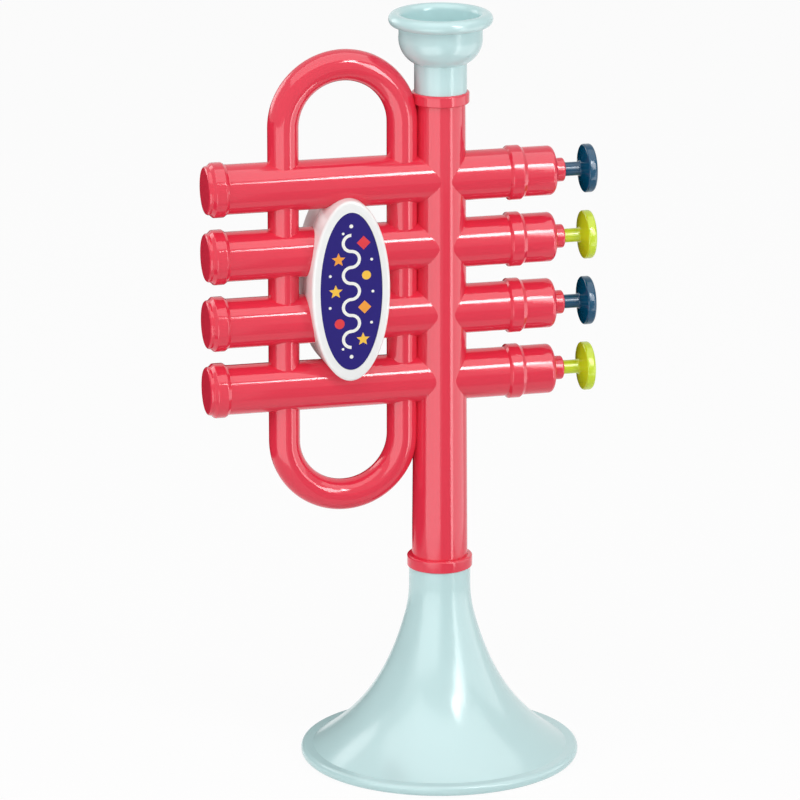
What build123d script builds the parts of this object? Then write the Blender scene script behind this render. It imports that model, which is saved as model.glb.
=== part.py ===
from build123d import *
from math import cos, hypot, log, pi, sin
import os

# Toy trumpet with four push-button valves, standing on its bell. All lengths are millimetres.
# +X runs towards the buttons, -Y towards the side with the oval plate, and +Z is up.
# The origin is on the floor, under the middle of the outline.
# Places along X are given as distances from the axis of the main pipe.
# Heights are stacked from the floor: bell, pipe, valve tubes, socket ring and mouthpiece.

# Valve tubes, which cross the main pipe
valve_count = 4
valve_pitch = 28.4
tube_radius = 10.3
tube_wall = 1.8
tube_left_end = 96.4
tube_right_end = 31.2

# Main pipe
pipe_top_radius = 10.3
pipe_bottom_radius = 11.7
pipe_wall = 1.7
pipe_below_valves = 82.6
pipe_above_valves = 34.1

# Hand loop
loop_radius = 6.45
loop_wall = 1.8
loop_left = 66.7
loop_right = 16.3
loop_above_valves = 49.6
loop_below_valves = 48.4

# Windway inside the shells
port_wall = 12.4
port_radius = 4.0
stopper_gap = 1.1
stopper_thickness = 2.0
outlet_radius = 2.8
outlet_rise = 3.4

# Seam between the two shells
seam_inset = 0.5
seam_width = 0.7
seam_height = 1.2
seam_gap = 0.1

# Fits
glue_gap = 0.05
slide_gap = 0.1
seat_gap = 0.3
cut_overrun = 1.0

# Reed plates and reeds
reed_clearance = 1.2
reed_plate_thickness = 2.0
reed_rib_width = 1.5
reed_rib_height = 0.9
reed_slot_width = 3.0
reed_slot_length = 9.4
reed_thickness = 0.4
rivet_radius = 0.8
rivet_head_radius = 1.3
rivet_head_thickness = 0.6

# End caps of the valve tubes, opposite the buttons
tail_cap_length = 3.4
tail_neck_step = 0.2
tail_bevel = 0.7
tail_bead_start = 1.7
tail_bead_width = 6.9
bead_rise = 1.1
bead_slope_share = 0.2
tail_face_round = 1.2
tail_floor = 2.2
spigot_length = 8.0
spigot_wall = 1.6

# Valve caps, which guide the buttons
valve_bead_width = 7.0
valve_bead_overlap = 3.5
valve_bead_slope_share = 0.2
valve_cap_length = 16.5
valve_cap_round = 2.0
valve_cap_wall = 1.8
shoulder_rise = 0.9
cap_neck_wall = 1.95
cap_neck_length = 4.0

# Buttons with their stems and pads
button_travel = 6.7
button_radius = 10.15
button_rim = 3.6
button_crown = 0.7
button_cone = 1.7
button_edge_round = 0.9
button_flat_share = 0.33
stem_radius = 2.9
rod_radius = 2.0
collar_clearance = 0.85
collar_thickness = 2.0
pad_overlap = 1.6
pad_thickness = 2.2
nib_radius = 1.1
nib_head_step = 0.8
nib_head_length = 1.4

# Return springs
spring_length = 18.6
spring_mean_radius = 4.0
spring_wire = 0.7
spring_turns = 6

# Mouthpiece and its socket ring
socket_ring_rise = 1.65
socket_ring_lap = 2.6
socket_ring_height = 4.8
socket_ring_round = 1.1
mouth_neck_step = 0.6
mouth_neck_length = 14.2
mouth_plug_length = 12.0
mouth_bowl_radius = 17.3
mouth_bowl_height = 11.8
mouth_bulge_step = 1.7
mouth_bulge_height = 4.2
mouth_collar_height = 6.55
mouth_rim_overhang = 1.5
mouth_rim_tube = 2.75
mouth_wall = 1.9
mouth_throat = 4.0

# Bell and the ring above it
bell_ring_rise = 2.0
bell_ring_height = 5.1
bell_ring_round = 0.9
bell_neck_step = 1.2
bell_neck_length = 13.8
bell_height = 82.8
bell_plug_length = 14.0
bell_wall = 1.9
bell_radius = 58.6
bell_lip_step = 5.0
bell_lip_width = 5.2
bell_lip_height = 4.4
bell_lip_round_share = 0.43
horn_depth = 87.94
horn_steps = 7

# Oval holder round the middle of the loop, in two halves, its label and its two screws
holder_side_gap = 2.15
holder_half_height = 38.3
holder_stand_off = 1.5
holder_plate = 3.2
holder_wall = 1.9
holder_round = 1.2
label_side_margin = 3.5
label_end_margin = 4.9
label_recess = 1.0
label_thickness = 0.6
holder_seam_bevel = 0.3
post_radius = 3.0
screw_sink = 2.6
screw_radius = 1.0
screw_head_radius = 2.2
screw_head_thickness = 1.4
screw_hole_radius = 1.3
screw_reach = 9.0
screw_slot_width = 0.7
screw_slot_depth = 0.6

# Radii worked out from the sizes above
tube_bore = tube_radius - tube_wall
pipe_bore = pipe_top_radius - pipe_wall
loop_bore = loop_radius - loop_wall
bead_radius = tube_radius + bead_rise
socket_ring_radius = pipe_top_radius + socket_ring_rise
bell_ring_radius = pipe_bottom_radius + bell_ring_rise
spigot_radius = tube_bore - glue_gap
spigot_bore = spigot_radius - spigot_wall

# Places along X
tail_reach = tube_left_end + tail_cap_length
valve_cap_end = tube_right_end + valve_cap_length
cap_neck_end = valve_cap_end + shoulder_rise + cap_neck_length
button_back = cap_neck_end + button_travel + seat_gap + button_cone
button_front = button_back + button_rim + button_crown
pipe_x = (tail_reach - button_front) / 2
loop_bend = (loop_left - loop_right) / 2
loop_middle_x = pipe_x - (loop_left + loop_right) / 2
spring_stop = port_wall + spring_length
pad_right = -port_wall - seat_gap
pad_left = pad_right - pad_thickness
rib_reach = reed_plate_thickness / 2 + reed_rib_width
reed_plate_place = nib_head_length - pad_left + button_travel + reed_clearance + rib_reach

# Heights
pipe_bottom_z = bell_height
lowest_valve_z = pipe_bottom_z + pipe_below_valves
valve_heights = [lowest_valve_z + valve_pitch * step for step in range(valve_count)]
valve_heights.reverse()
valve_places = [(0, height) for height in valve_heights]
pipe_top_z = valve_heights[0] + pipe_above_valves
loop_upper_z = valve_heights[0] + loop_above_valves - loop_bend
loop_lower_z = lowest_valve_z - loop_below_valves + loop_bend
outlet_z = loop_lower_z + outlet_rise
stopper_z = outlet_z + outlet_radius + stopper_gap
socket_ring_bottom = pipe_top_z - socket_ring_lap
socket_ring_top = socket_ring_bottom + socket_ring_height
mouth_bowl_bottom = pipe_top_z + mouth_neck_length
mouth_rim_z = mouth_bowl_bottom + mouth_bowl_height + mouth_collar_height
overall_height = mouth_rim_z + mouth_rim_tube

# Middle of the oval holder, and its size between the limbs of the loop
holder_x = loop_middle_x
holder_centre_z = (valve_heights[0] + valve_heights[-1]) / 2
holder_half_width = loop_bend - loop_radius - holder_side_gap
holder_front = tube_radius + holder_stand_off + holder_plate
holder_seam = glue_gap / 2
label_half_width = holder_half_width - label_side_margin
label_half_height = holder_half_height - label_end_margin

# The plane that the outlines of turned pieces are drawn on, and the main axis
turning_plane = Plane(origin=(pipe_x, 0, 0), x_dir=(1, 0, 0), z_dir=(0, -1, 0))
pipe_axis = Axis((pipe_x, 0, 0), (0, 0, 1))
quarter_turn = 90
half_turn = 180


def outline_of(corners):
    """Closed outline of (first, second, rounding) corners, made into a face."""
    with BuildLine() as edge:
        FilletPolyline(
            *[(first, second) for first, second, rounding in corners],
            radius=[rounding for first, second, rounding in corners],
            close=True,
        )
    make_face(edge.edges())


def turned_upright(corners):
    """Piece turned about the main pipe's axis from (radius, height, rounding) corners."""
    with BuildPart() as piece:
        with BuildSketch(turning_plane):
            outline_of(corners)
        revolve(axis=pipe_axis)
    return piece


def turned_on_valve(corners, height):
    """Piece turned about a valve's axis from (distance along X, radius, rounding) corners."""
    plane = Plane(origin=(pipe_x, 0, height), x_dir=(1, 0, 0), z_dir=(0, -1, 0))
    with BuildPart() as piece:
        with BuildSketch(plane):
            outline_of(corners)
        revolve(axis=Axis((pipe_x, 0, height), (1, 0, 0)))
    return piece


def valve_bores(radius, start, end, mode=Mode.ADD):
    """A round bar of this radius on every valve axis, from start to end along X."""
    with BuildSketch(Plane.YZ.offset(pipe_x + start)) as section:
        with Locations(*valve_places):
            Circle(radius)
    extrude(section.sketch, amount=end - start, mode=mode)


def pipe_bar(radius, bottom, top, mode=Mode.ADD):
    """A round bar of this radius on the main pipe's axis."""
    with BuildSketch(Plane.XY.offset(bottom)) as section:
        with Locations(Location((pipe_x, 0), quarter_turn)):
            Circle(radius)
    extrude(section.sketch, amount=top - bottom, mode=mode)


def loop_bends(radius):
    """The two half rings of the hand loop, at its top and its bottom."""
    for bend_z, turn in ((loop_upper_z, 1), (loop_lower_z, -1)):
        with BuildSketch(Plane.XY.offset(bend_z)) as section:
            with Locations(Location((pipe_x - loop_left, 0), quarter_turn)):
                Circle(radius)
        bend_axis = Axis((loop_middle_x, 0, bend_z), (0, turn, 0))
        revolve(section.sketch, axis=bend_axis, revolution_arc=half_turn)


def loop_limb(distance, radius):
    """One straight upright limb of the hand loop."""
    with BuildSketch(Plane.XY.offset(loop_lower_z)) as section:
        with Locations(Location((pipe_x - distance, 0), quarter_turn)):
            Circle(radius)
    extrude(section.sketch, amount=loop_upper_z - loop_lower_z)


def body_form(inset):
    """The pipe, the valve tubes and the loop as one solid, with every surface set in."""
    with BuildPart() as form:
        with BuildSketch(Plane(origin=(pipe_x, 0, 0), x_dir=(0, 1, 0), z_dir=(1, 0, 0))):
            with BuildLine():
                Polyline(
                    (0, pipe_bottom_z),
                    (pipe_bottom_radius - inset, pipe_bottom_z),
                    (pipe_bottom_radius - inset, pipe_bottom_z + bell_ring_height),
                    (pipe_top_radius - inset, socket_ring_bottom),
                    (pipe_top_radius - inset, pipe_top_z),
                    (0, pipe_top_z),
                    close=True,
                )
            make_face()
        revolve(axis=pipe_axis)
        valve_bores(tube_radius - inset, -tube_left_end, tube_right_end)
        loop_bends(loop_radius - inset)
        loop_limb(loop_left, loop_radius - inset)
        loop_limb(loop_right, loop_radius - inset)
    return form.part


def seam_band(clearance):
    """The tongue that runs round the seam inside the walls, or its groove when clearance is given."""
    with BuildPart() as band:
        add(body_form(seam_inset - clearance))
        add(body_form(seam_inset + seam_width + clearance), mode=Mode.SUBTRACT)
        with BuildSketch(Plane.XZ):
            with Locations((0, overall_height / 2)):
                Rectangle(overall_height, overall_height)
        extrude(amount=-(seam_height + clearance), mode=Mode.INTERSECT)
    return band.part


# Windway: everything that is hollow inside the two shells
with BuildPart() as right_limb_pockets:
    loop_limb(loop_right, loop_bore)
    valve_bores(tube_radius, -tube_left_end, tube_right_end, mode=Mode.SUBTRACT)

with BuildPart() as windway:
    pipe_bar(pipe_bore, pipe_bottom_z, stopper_z)
    pipe_bar(pipe_bore, stopper_z + stopper_thickness, pipe_top_z)
    valve_bores(tube_bore, port_wall, tube_right_end)
    valve_bores(rod_radius + slide_gap, 0, port_wall)
    valve_bores(port_radius, -port_wall, 0)
    valve_bores(tube_bore, rib_reach - reed_plate_place, -port_wall)
    valve_bores(tube_bore - reed_rib_height, -reed_plate_place - rib_reach, rib_reach - reed_plate_place)
    valve_bores(tube_bore, -reed_plate_place - reed_plate_thickness / 2,
                reed_plate_thickness / 2 - reed_plate_place)
    valve_bores(tube_bore, -tube_left_end, -reed_plate_place - rib_reach)
    loop_bends(loop_bore)
    loop_limb(loop_left, loop_bore)
    add(right_limb_pockets.part)
    with BuildSketch(Plane.YZ.offset(pipe_x - loop_right)):
        with Locations((0, outlet_z)):
            Circle(outlet_radius)
    extrude(amount=loop_right)

with BuildPart() as body:
    add(body_form(0))
    add(windway.part, mode=Mode.SUBTRACT)

# Room for the socket ring, which the loop's top bend would otherwise run into
with BuildPart() as ring_room:
    pipe_bar(socket_ring_radius + glue_gap, socket_ring_bottom - glue_gap, socket_ring_top)
    pipe_bar(pipe_top_radius, socket_ring_bottom - glue_gap, socket_ring_top, mode=Mode.SUBTRACT)

# Front shell, with the tongue of the seam
with BuildPart() as front_shell:
    add(body.part)
    split(bisect_by=Plane.XZ, keep=Keep.TOP)
    add(seam_band(0))
    add(ring_room.part, mode=Mode.SUBTRACT)
front_shell.part.label = "front_shell"

# Back shell, with the groove
with BuildPart() as back_shell:
    add(body.part)
    split(bisect_by=Plane.XZ, keep=Keep.BOTTOM)
    add(seam_band(seam_gap), mode=Mode.SUBTRACT)
    add(ring_room.part, mode=Mode.SUBTRACT)
back_shell.part.label = "back_shell"

# Ring round the top of the pipe, which holds both shells and takes the mouthpiece
mouth_neck_radius = pipe_top_radius + mouth_neck_step
socket_ring = turned_upright([
    (pipe_top_radius + glue_gap, socket_ring_bottom, 0),
    (socket_ring_radius, socket_ring_bottom, socket_ring_round),
    (socket_ring_radius, socket_ring_top, glue_gap),
    (mouth_neck_radius + glue_gap, socket_ring_top, 0),
    (mouth_neck_radius + glue_gap, pipe_top_z, 0),
    (pipe_top_radius + glue_gap, pipe_top_z, 0),
])
socket_ring.part.label = "socket_ring"

# Ring round the bottom of the pipe, above the bell
bell_ring_top = pipe_bottom_z + bell_ring_height
bell_ring = turned_upright([
    (pipe_bottom_radius + glue_gap, pipe_bottom_z, 0),
    (bell_ring_radius, pipe_bottom_z, bell_ring_round),
    (bell_ring_radius, bell_ring_top, bell_ring_round),
    (pipe_bottom_radius + glue_gap, bell_ring_top, 0),
])
bell_ring.part.label = "bell_ring"

# Mouthpiece: plug, neck, bowl and rolled rim, with a cup, a throat and a hollow neck
mouth_bulge = mouth_bowl_radius - mouth_bulge_step
mouth_rim_radius = mouth_bowl_radius + mouth_rim_overhang
bowl_top = mouth_rim_z - (mouth_rim_tube ** 2 - (mouth_rim_radius - mouth_bowl_radius) ** 2) ** (1 / 2)
cup_radius = mouth_rim_radius - mouth_rim_tube
cup_wall_radius = mouth_bowl_radius - mouth_wall
cup_floor = mouth_bowl_bottom + mouth_wall
plug_bottom = pipe_top_z - mouth_plug_length
plug_radius = pipe_bore - glue_gap
with BuildPart() as mouthpiece:
    with BuildSketch(turning_plane):
        with BuildLine():
            Polyline(
                (plug_radius - mouth_wall, plug_bottom),
                (plug_radius, plug_bottom),
                (plug_radius, pipe_top_z),
                (mouth_neck_radius, pipe_top_z),
                (mouth_neck_radius, mouth_bowl_bottom),
            )
            ThreePointArc(
                (mouth_neck_radius, mouth_bowl_bottom),
                (mouth_bulge, mouth_bowl_bottom + mouth_bulge_height),
                (mouth_bowl_radius, mouth_bowl_bottom + mouth_bowl_height),
            )
            Line((mouth_bowl_radius, mouth_bowl_bottom + mouth_bowl_height), (mouth_bowl_radius, bowl_top))
            ThreePointArc(
                (mouth_bowl_radius, bowl_top),
                (mouth_rim_radius + mouth_rim_tube, mouth_rim_z),
                (mouth_rim_radius, overall_height),
            )
            ThreePointArc(
                (mouth_rim_radius, overall_height),
                (mouth_rim_radius - mouth_rim_tube * cos(pi / 4), mouth_rim_z + mouth_rim_tube * sin(pi / 4)),
                (cup_radius, mouth_rim_z),
            )
            Line((cup_radius, mouth_rim_z), (cup_wall_radius, mouth_bowl_bottom + mouth_bowl_height))
            ThreePointArc(
                (cup_wall_radius, mouth_bowl_bottom + mouth_bowl_height),
                (mouth_bulge - mouth_wall, cup_floor + mouth_bulge_height),
                (mouth_throat, cup_floor),
            )
            Polyline(
                (mouth_throat, cup_floor),
                (mouth_throat, mouth_bowl_bottom),
                (plug_radius - mouth_wall, mouth_bowl_bottom),
                (plug_radius - mouth_wall, plug_bottom),
            )
        make_face()
    revolve(axis=pipe_axis)
mouthpiece.part.label = "mouthpiece"


def horn_radius(height):
    """Outer radius of the bell's flare at this height, a horn curve."""
    return flare_foot * ((height + horn_depth) / (bell_lip_height + horn_depth)) ** -horn_power


def horn_inside(height):
    """Point one wall inside the flare's surface at this height."""
    slope = -horn_power * horn_radius(height) / (height + horn_depth)
    length = hypot(1, slope)
    return (horn_radius(height) - bell_wall / length, height + bell_wall * slope / length)


# Bell: plug, neck, flare and rolled lip, open below. The horn curve runs from lip to neck.
bell_neck_radius = pipe_bottom_radius + bell_neck_step
flare_foot = bell_radius - bell_lip_step
flare_top = bell_height - bell_neck_length
horn_power = log(flare_foot / bell_neck_radius) / log((flare_top + horn_depth) / (bell_lip_height + horn_depth))
bell_lip_round = bell_lip_height * bell_lip_round_share
flare_heights = [
    bell_lip_height + (flare_top - bell_lip_height) * (step / horn_steps) ** 2
    for step in range(horn_steps + 1)
]
flare_outside = [(horn_radius(height), height) for height in reversed(flare_heights)]
flare_inside = [horn_inside(height) for height in flare_heights]
bell_plug_radius = pipe_bore - glue_gap
bell_inner_neck = horn_radius(flare_top) - bell_wall
with BuildPart() as bell:
    with BuildSketch(turning_plane):
        with BuildLine():
            Polyline(
                flare_inside[-1],
                (bell_inner_neck, pipe_bottom_z - bell_wall),
                (bell_plug_radius - bell_wall, pipe_bottom_z),
                (bell_plug_radius - bell_wall, pipe_bottom_z + bell_plug_length),
                (bell_plug_radius, pipe_bottom_z + bell_plug_length),
                (bell_plug_radius, pipe_bottom_z),
                (bell_neck_radius, pipe_bottom_z),
                flare_outside[0],
            )
            Spline(*flare_outside)
            FilletPolyline(
                flare_outside[-1],
                (bell_radius, bell_lip_height),
                (bell_radius, 0),
                (bell_radius - bell_lip_width, 0),
                flare_inside[0],
                radius=[bell_lip_round, bell_lip_round, bell_lip_round],
            )
            Spline(*flare_inside)
        make_face()
    revolve(axis=pipe_axis)
bell.part.label = "bell"

# Oval holder: two halves that meet in the gaps between the valve tubes, screwed together from behind
post_places = [
    (holder_x, (valve_heights[0] + valve_heights[1]) / 2),
    (holder_x, (valve_heights[-2] + valve_heights[-1]) / 2),
]


def holder_half(side):
    """Plate, wall and two posts of one half; side is 1 for the front half and -1 for the back."""
    inside_depth = holder_front - holder_plate - holder_seam
    outwards = Axis((0, 0, 0), (0, side, 0))
    with BuildPart() as half:
        with BuildSketch(Plane.XZ.offset(side * holder_front)):
            with Locations((holder_x, holder_centre_z)):
                Ellipse(holder_half_width, holder_half_height)
        extrude(amount=side * (holder_seam - holder_front))
        fillet(half.faces().sort_by(outwards)[0].edges(), radius=holder_round)
        chamfer(half.faces().sort_by(outwards)[-1].edges(), length=holder_seam_bevel)
        with BuildSketch(Plane.XZ.offset(side * holder_seam)):
            with Locations((holder_x, holder_centre_z)):
                Ellipse(holder_half_width - holder_wall, holder_half_height - holder_wall)
        extrude(amount=side * inside_depth, mode=Mode.SUBTRACT)
        with BuildSketch(Plane.XZ.offset(side * holder_seam)):
            with Locations(*post_places):
                Circle(post_radius)
        extrude(amount=side * (inside_depth + holder_plate / 2))
        valve_bores(tube_radius + glue_gap, -tube_left_end, 0, mode=Mode.SUBTRACT)
    return half


with BuildPart() as label_holder:
    add(holder_half(1).part)
    with BuildSketch(Plane.XZ):
        with Locations(*post_places):
            Circle(screw_radius + glue_gap)
    extrude(amount=screw_reach + glue_gap, mode=Mode.SUBTRACT)
    with BuildSketch(Plane.XZ.offset(holder_front)):
        with Locations((holder_x, holder_centre_z)):
            Ellipse(label_half_width + glue_gap, label_half_height + glue_gap)
    extrude(amount=-label_recess, mode=Mode.SUBTRACT)
label_holder.part.label = "label_holder"

screw_seat = holder_front - screw_sink
with BuildPart() as holder_back:
    add(holder_half(-1).part)
    with BuildSketch(Plane.XZ):
        with Locations(*post_places):
            Circle(screw_hole_radius)
    extrude(amount=-screw_seat - cut_overrun, mode=Mode.SUBTRACT)
    with BuildSketch(Plane.XZ.offset(-holder_front)):
        with Locations(*post_places):
            Circle(screw_head_radius + seat_gap)
    extrude(amount=screw_sink, mode=Mode.SUBTRACT)
holder_back.part.label = "holder_back"

# Label: a thin oval plate that lies in the holder's recess
with BuildPart() as label:
    with BuildSketch(Plane.XZ.offset(holder_front - label_recess)):
        with Locations((holder_x, holder_centre_z)):
            Ellipse(label_half_width, label_half_height)
    extrude(amount=label_thickness)
label.part.label = "label"

# Two screws from behind, through the back half's posts into the front half's
with BuildPart() as holder_screws:
    with BuildSketch(Plane.XZ.offset(-screw_seat)):
        with Locations(*post_places):
            Circle(screw_radius)
    extrude(amount=screw_seat + screw_reach)
    with BuildSketch(Plane.XZ.offset(-screw_seat)):
        with Locations(*post_places):
            Circle(screw_head_radius)
    extrude(amount=-screw_head_thickness)
    with BuildSketch(Plane.XZ.offset(-screw_seat - screw_head_thickness)):
        with Locations(*post_places):
            Rectangle(screw_head_radius, screw_slot_width)
            Rectangle(screw_slot_width, screw_head_radius)
    extrude(amount=screw_slot_depth, mode=Mode.SUBTRACT)
holder_screws.part.label = "holder_screws"


def make_tail_cap(height):
    """Closed cap with a bead, pushed on and into the far end of a valve tube."""
    face = -tail_reach
    bead_left = face + tail_bead_start
    bead_right = bead_left + tail_bead_width
    bead_slope = tail_bead_width * bead_slope_share
    tail_neck_radius = tube_radius - tail_neck_step
    return turned_on_valve([
        (face, 0, 0),
        (face, tail_neck_radius, tail_face_round),
        (bead_left, tail_neck_radius, 0),
        (bead_left + bead_slope, bead_radius, tail_bevel),
        (bead_right - bead_slope, bead_radius, tail_bevel),
        (bead_right, tube_radius + glue_gap, 0),
        (-tube_left_end, tube_radius + glue_gap, 0),
        (-tube_left_end, spigot_radius, 0),
        (spigot_length - tube_left_end, spigot_radius, 0),
        (spigot_length - tube_left_end, spigot_bore, 0),
        (face + tail_floor, spigot_bore, 0),
        (face + tail_floor, 0, 0),
    ], height)


def make_valve_cap(height):
    """Cap with a bead, a shoulder and a neck that guides the button's stem."""
    bead_left = tube_right_end - valve_bead_overlap
    bead_right = bead_left + valve_bead_width
    bead_slope = valve_bead_width * valve_bead_slope_share
    valve_cap_radius = tube_radius + glue_gap
    hole_radius = stem_radius + slide_gap
    cap_neck_radius = hole_radius + cap_neck_wall
    shoulder_end = valve_cap_end + shoulder_rise
    return turned_on_valve([
        (bead_left, tube_radius + glue_gap, 0),
        (bead_left + bead_slope, bead_radius, tail_bevel),
        (bead_right - bead_slope, bead_radius, tail_bevel),
        (bead_right, valve_cap_radius, tail_bevel),
        (valve_cap_end, valve_cap_radius, valve_cap_round),
        (shoulder_end, cap_neck_radius, 0),
        (cap_neck_end, cap_neck_radius, tail_bevel),
        (cap_neck_end, hole_radius, 0),
        (shoulder_end - valve_cap_wall, hole_radius, 0),
        (shoulder_end - valve_cap_wall, cap_neck_radius, 0),
        (valve_cap_end - valve_cap_wall, spigot_bore, 0),
        (tube_right_end - spigot_length, spigot_bore, 0),
        (tube_right_end - spigot_length, spigot_radius, 0),
        (tube_right_end, spigot_radius, 0),
        (tube_right_end, tube_radius + glue_gap, 0),
    ], height)


def make_button(height):
    """Mushroom button with its stem, spring collar, rod, and nib for the pad."""
    collar_radius = spigot_bore - collar_clearance
    return turned_on_valve([
        (pad_left - nib_head_length, 0, 0),
        (pad_left - nib_head_length, nib_radius, 0),
        (pad_left, nib_radius + nib_head_step, 0),
        (pad_left, nib_radius, 0),
        (pad_right, nib_radius, 0),
        (pad_right, rod_radius, 0),
        (spring_stop, rod_radius, 0),
        (spring_stop, collar_radius, 0),
        (spring_stop + collar_thickness, collar_radius, 0),
        (spring_stop + collar_thickness, stem_radius, 0),
        (button_back - button_cone, stem_radius, button_edge_round),
        (button_back, button_radius, button_edge_round),
        (button_back + button_rim, button_radius, button_edge_round),
        (button_front, button_radius * button_flat_share, 0),
        (button_front, 0, 0),
    ], height)


def make_pad(height):
    """Soft disc on the end of the rod, which closes the port from the far side."""
    pad_radius = port_radius + pad_overlap
    return turned_on_valve([
        (pad_left, nib_radius + glue_gap, 0),
        (pad_left, pad_radius, 0),
        (pad_right, pad_radius, 0),
        (pad_right, nib_radius + glue_gap, 0),
    ], height)


def make_reed_plate(height):
    """Disc in the tube's groove, with a slot that the reed beats in and a rivet hole."""
    plate_left = pipe_x - reed_plate_place - reed_plate_thickness / 2
    with BuildPart() as plate:
        with BuildSketch(Plane.YZ.offset(plate_left)):
            with Locations((0, height)):
                Circle(tube_bore - glue_gap)
                Rectangle(reed_slot_width, reed_slot_length, mode=Mode.SUBTRACT)
            with Locations((0, height + reed_slot_length / 2 + rivet_head_radius)):
                Circle(rivet_radius + glue_gap, mode=Mode.SUBTRACT)
        extrude(amount=reed_plate_thickness)
    return plate


def make_reed(height):
    """Brass tongue over the slot, held by a rivet at its upper end."""
    plate_left = pipe_x - reed_plate_place - reed_plate_thickness / 2
    rivet_z = height + reed_slot_length / 2 + rivet_head_radius
    reed_width = reed_slot_width - 2 * slide_gap
    reed_bottom = height - reed_slot_length / 2 + slide_gap
    reed_length = rivet_z + rivet_head_radius - reed_bottom
    with BuildPart() as reed:
        with BuildSketch(Plane.YZ.offset(plate_left - reed_thickness)):
            with Locations((0, reed_bottom + reed_length / 2)):
                Rectangle(reed_width, reed_length)
        extrude(amount=reed_thickness)
        with BuildSketch(Plane.YZ.offset(plate_left - reed_thickness - rivet_head_thickness)):
            with Locations((0, rivet_z)):
                Circle(rivet_head_radius)
        extrude(amount=rivet_head_thickness)
        with BuildSketch(Plane.YZ.offset(plate_left - reed_thickness)):
            with Locations((0, rivet_z)):
                Circle(rivet_radius)
        extrude(amount=reed_thickness + reed_plate_thickness + rivet_head_thickness)
        with BuildSketch(Plane.YZ.offset(plate_left + reed_plate_thickness)):
            with Locations((0, rivet_z)):
                Circle(rivet_head_radius)
        extrude(amount=rivet_head_thickness)
    return reed


def coil_point(turn, height):
    """Point on the spring's centre line after this many turns."""
    start = port_wall + spring_wire / 2 + glue_gap
    rise = (spring_length - spring_wire - 2 * glue_gap) / spring_turns
    angle = 2 * pi * turn
    return Vector(
        pipe_x + start + rise * turn,
        spring_mean_radius * cos(angle),
        height + spring_mean_radius * sin(angle),
    )


def coil_direction(turn):
    """Unit direction of the spring's centre line after this many turns."""
    rise = (spring_length - spring_wire - 2 * glue_gap) / spring_turns
    angle = 2 * pi * turn
    around = 2 * pi * spring_mean_radius
    return Vector(rise, -around * sin(angle), around * cos(angle)).normalized()


def make_spring(height):
    """Return spring: one unbroken wire swept along pairs of tangent arcs, a quarter turn each."""
    steps = 4 * spring_turns
    with BuildPart() as spring:
        with BuildLine() as wire_line:
            for step in range(steps):
                begin = coil_point(step / 4, height)
                finish = coil_point((step + 1) / 4, height)
                leave = coil_direction(step / 4)
                arrive = coil_direction((step + 1) / 4)
                chord = finish - begin
                both = leave + arrive
                # reach of each arc's tangent, from the condition that the two arcs are tangent
                square = 2 * (1 - leave.dot(arrive))
                along = chord.dot(both)
                reach = ((along ** 2 + square * chord.dot(chord)) ** (1 / 2) - along) / square
                middle = (begin + finish + (leave - arrive) * reach) / 2
                knee = begin + leave * reach
                TangentArc(begin, middle, tangent=leave)
                TangentArc(middle, finish, tangent=middle - knee)
        with BuildSketch(Plane(origin=coil_point(0, height), z_dir=coil_direction(0))):
            Circle(spring_wire / 2)
        sweep(path=wire_line.line)
    return spring


coil_gap = (spring_length - spring_wire - 2 * glue_gap) / spring_turns - spring_wire
print("least gap between the turns of a return spring:", round(coil_gap, 2), "mm")

# Files
pieces = [front_shell, back_shell, socket_ring, bell_ring, mouthpiece, bell]
pieces += [label_holder, holder_back, label, holder_screws]
repeated = {
    "tail_cap": make_tail_cap,
    "valve_cap": make_valve_cap,
    "button": make_button,
    "valve_pad": make_pad,
    "reed_plate": make_reed_plate,
    "reed": make_reed,
    "return_spring": make_spring,
}
for name, make in repeated.items():
    for number, height in enumerate(valve_heights, start=1):
        piece = make(height)
        piece.part.label = f"{name}_{number}"
        pieces.append(piece)

os.makedirs("parts", exist_ok=True)
for piece in pieces:
    export_step(piece.part, f"parts/{piece.part.label}.step")
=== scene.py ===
from math import cos, hypot, log, pi, radians, sin, tan

import bpy
from mathutils import Matrix, Vector


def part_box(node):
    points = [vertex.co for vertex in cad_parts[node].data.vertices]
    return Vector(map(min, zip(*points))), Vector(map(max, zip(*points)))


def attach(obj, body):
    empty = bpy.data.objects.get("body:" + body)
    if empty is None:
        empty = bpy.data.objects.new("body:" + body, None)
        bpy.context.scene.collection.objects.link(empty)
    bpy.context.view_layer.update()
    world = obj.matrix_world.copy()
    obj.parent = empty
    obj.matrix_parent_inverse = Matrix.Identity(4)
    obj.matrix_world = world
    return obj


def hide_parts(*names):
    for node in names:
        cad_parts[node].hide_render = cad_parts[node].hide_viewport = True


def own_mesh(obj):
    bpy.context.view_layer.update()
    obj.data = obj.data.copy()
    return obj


bl_info = {
    "name": "Toy trumpet",
    "version": (1, 0, 0),
    "blender": (4, 5, 0),
    "location": "View3D > Sidebar > Trumpet",
    "description": "Dresses a packed toy trumpet with moulded pieces, finishes and a plain stage",
    "category": "Add Mesh",
}

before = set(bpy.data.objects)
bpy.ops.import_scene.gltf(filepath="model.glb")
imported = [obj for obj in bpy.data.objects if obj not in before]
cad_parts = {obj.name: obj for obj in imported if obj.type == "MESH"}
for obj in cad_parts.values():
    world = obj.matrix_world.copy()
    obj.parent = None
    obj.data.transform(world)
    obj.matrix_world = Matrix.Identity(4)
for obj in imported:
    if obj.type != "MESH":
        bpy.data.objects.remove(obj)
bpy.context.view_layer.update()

# Lengths are written in millimetres and turned to metres once, by this value
MM = 0.001

# Points closer together than the first are merged; within the second of a place they count as there
merge_gap, near = 0.001, 0.01

# Faces round the pieces that aren't turned
loop_sides, loop_steps, post_sides, oval_sides = 48, 48, 32, 160

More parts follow.
